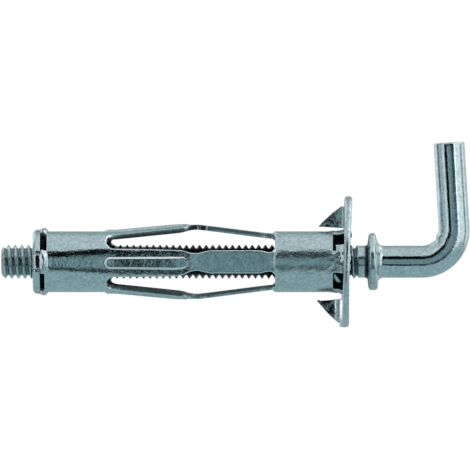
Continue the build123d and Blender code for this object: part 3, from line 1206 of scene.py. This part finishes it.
def hammered(place):
    """How a claw departs from flat: leaning back, dented, and with a folded crease on the lower one."""
    y = -place.x * tan(claw_lean) + claw_dent * noise.noise(place * claw_dent_cells)
    if place.z < 0:
        y += sum(height * ease(place.x, start, end) for height, start, end in low_claw_folds)
    return y * ease(-place.x, 0, claw_foot)


def swelled(place):
    """How far a claw's outer edge bulges past a straight taper, most on the lower claw."""
    along = min(max(-place.x / claw_length, 0), 1)
    edge = claw_outer + (claw_inner + claw_tip - claw_outer) * along
    out = min(max((abs(place.z) - claw_inner) / (edge - claw_inner), 0), 1)
    grown = claw_swell * sin(pi * along) + (low_claw_growth * (1 - along) if place.z < 0 else 0)
    return grown * out * (1 if place.z > 0 else -1)


def make_plate():
    """The plate with a rounded rim, set a little askew, and its claws leaning back and dented."""
    bm = dressed_copy("flange_plate")
    along = Vector((1, 0, 0))
    upright = Vector((0, 0, 1))
    slice_at(bm, on_rim, along, [rim_thickness * step / rim_slices for step in range(1, rim_slices)])
    slice_at(bm, on_claw, along, [-claw_length * step / claw_slices for step in range(1, claw_slices)])
    slice_at(bm, on_claw, upright, [side * place for side in (-1, 1) for place in claw_side_slices])
    for vert in bm.verts:
        radius = vert.co.yz.length
        vert.co.x = min(vert.co.x, rim_thickness)
        if on_rim(vert.co):
            share = min(abs(2 * vert.co.x / rim_thickness - 1), 1)
            rounded = flange_radius - rim_round * (1 - sqrt(1 - share**2))
            vert.co.yz *= rounded / radius
            burr = burr_reach * bell(vert.co.y, burr_half) * (vert.co.z < 0)
            vert.co.x -= burr * (1 - ease(vert.co.x, 0, burr_run))
        elif on_claw(vert.co):
            vert.co += Vector((0, hammered(vert.co), swelled(vert.co)))
    break_corners(bm, plate_corner)
    for vert in bm.verts:
        front = min(max(vert.co.x / rim_thickness, 0), 1)
        bowed = plate_bow * (vert.co.z / flange_radius) ** 2
        ragged = plate_ragged * noise.noise(vert.co * plate_ragged_cells)
        vert.co.x += vert.co.z * tan(plate_tilt) + (bowed + ragged) * front
    return finish_piece(bm, "clawed_plate", "anchor", "flange_plate", [plate_finish])


def make_nut():
    """The nut, with its rim swelled flush with the tabs that grip it."""
    bm = dressed_copy("nut")
    for vert in bm.verts:
        radius = vert.co.yz.length
        share = ease(radius, *nut_swell_run) * (vert.co.x < nut_front + slack)
        vert.co.yz *= 1 + (nut_rim_seen / nut_rim - 1) * share
    break_corners(bm, nut_corner)
    return finish_piece(bm, "pressed_nut", "anchor", "nut", [nut_finish])


make_sleeve()
make_hook()
make_plate()
make_nut()


# Stage
def make_tent():
    """A white studio tent: pale all round, greyer behind, with panels and gaps at eye level and a softbox."""
    scene = bpy.context.scene
    scene.world = bpy.data.worlds.new("studio_tent")
    scene.world.use_nodes = True
    tree = scene.world.node_tree
    ray = node(tree, "TexCoord")["Generated"]
    x, y, z = node(tree, "SeparateXYZ", None, {0: ray})
    rise = product(calc("ARCSINE", z), degrees(1))
    turn = product(calc("ARCTAN2", x, product(y, -1.0)), degrees(1))
    colour = blend(spread(rise, *horizon_rises), tent_low, tent_high)
    behind = product(
        spread(calc("ABSOLUTE", turn), *tent_back_turns),
        fall(rise, *tent_back_top),
        spread(rise, *tent_back_foot),
    )
    colour = blend(behind, colour, tent_back)
    eye_level = window(rise, *panel_rises)
    for start, end, brightness in tent_panels:
        panel = product(window(turn, start, end, panel_softness), eye_level)
        tint = gap_tint if brightness < gap_brightness else panel_tint
        colour = blend(panel, colour, (*(part * brightness for part in tint), 1))
    softbox = product(window(turn, *softbox_turns), window(rise, *softbox_rises))
    colour = blend(softbox, colour, softbox_light)
    path = node(tree, "LightPath")
    seen = largest(path["Is Glossy Ray"], path["Is Transmission Ray"])
    light = blend(seen, plain_light, colour)
    shown = blend(path["Is Camera Ray"], light, white)
    tree.links.new(shown, tree.nodes["Background"].inputs["Color"])


def make_port_card():
    """The dark card in front of the tent, with the pale port that the camera looks through."""
    left, right = card_sides
    foot, head = card_heights
    bm = bmesh.new()
    ops.create_grid(bm, x_segments=1, y_segments=1, size=0.5)
    ops.transform(
        bm,
        matrix=Matrix.Translation(((left + right) / 2 * mm, -card_away * mm, (foot + head) / 2 * mm))
        @ Matrix.Rotation(pi / 2, 4, "X")
        @ Matrix.Diagonal(((right - left) * mm, (head - foot) * mm, 1, 1)),
        verts=bm.verts,
    )
    material, tree = new_material("port_card")
    across, _, up = object_parts(tree)
    lifted = calc("SUBTRACT", up, product(across, port_slope))
    lens = product(spread(across, *lens_left), spread(up, *lens_foot), lens_shade_share)
    port = product(
        fall(up, *port_top),
        spread(lifted, *port_foot),
        spread(across, *port_left),
        rest_of(lens),
        spread(across, *port_shade_run, 1.0, port_shade_share),
    )
    tone = blend(port, card_dark, port_tone)
    glow = node(tree, "Emission", None, {"Color": tone})[0]
    clear = node(tree, "BsdfTransparent")[0]
    path = node(tree, "LightPath")
    hidden = largest(fall(lifted, *card_foot), rest_of(path["Is Glossy Ray"]))
    show_mix(hidden, glow, clear)
    tree.nodes.remove(tree.nodes["Principled BSDF"])
    card = link_object(bm, "port_card", [material])


def make_floor():
    """A pale floor well below the anchor: white to the eye, and it keeps the soft shadow."""
    bm = bmesh.new()
    ops.create_grid(bm, x_segments=1, y_segments=1, size=floor_half * mm)
    ops.translate(bm, verts=bm.verts, vec=(floor_middle * mm, 0, -floor_drop * mm))
    material, tree = new_material("pale_floor")
    shader = tree.nodes["Principled BSDF"]
    shader.inputs["Base Color"].default_value = floor_tone
    shader.inputs["Roughness"].default_value = floor_roughness
    path = node(tree, "LightPath")
    settings = {"samples": shadow_samples}
    inputs = {"Distance": shadow_reach * mm}
    open_sky = node(tree, "AmbientOcclusion", settings, inputs)["AO"]
    shadow = spread(open_sky, *shadow_range, shadow_share)
    pale = blend(path["Is Camera Ray"], tent_low, white)
    lit = blend(shadow, black, pale)
    glow = node(tree, "Emission", None, {"Color": lit})[0]
    seen = largest(path["Is Camera Ray"], path["Is Glossy Ray"])
    seen = largest(seen, path["Is Transmission Ray"])
    show_mix(seen, shader.outputs[0], glow)
    floor = link_object(bm, "floor", [material])


def make_camera():
    """A long lens square to the anchor, framed as the photograph is."""
    pixels = 470
    pixels_per_mm = 8
    axis_pixel = Vector((343.0, 261.75))
    distance = 1.0
    view_width = pixels / pixels_per_mm * mm
    data = bpy.data.cameras.new("camera")
    data.lens = data.sensor_width * distance / view_width
    camera = bpy.data.objects.new("camera", data)
    x = (pixels / 2 - axis_pixel.x) / pixels_per_mm * mm
    z = (axis_pixel.y - pixels / 2) / pixels_per_mm * mm
    camera.location = (x, -distance, z)
    camera.rotation_euler = (pi / 2, 0, 0)
    bpy.context.scene.collection.objects.link(camera)
    bpy.context.scene.camera = camera


make_tent()
make_port_card()
make_floor()
make_camera()
bpy.context.scene.view_settings.view_transform = "Standard"
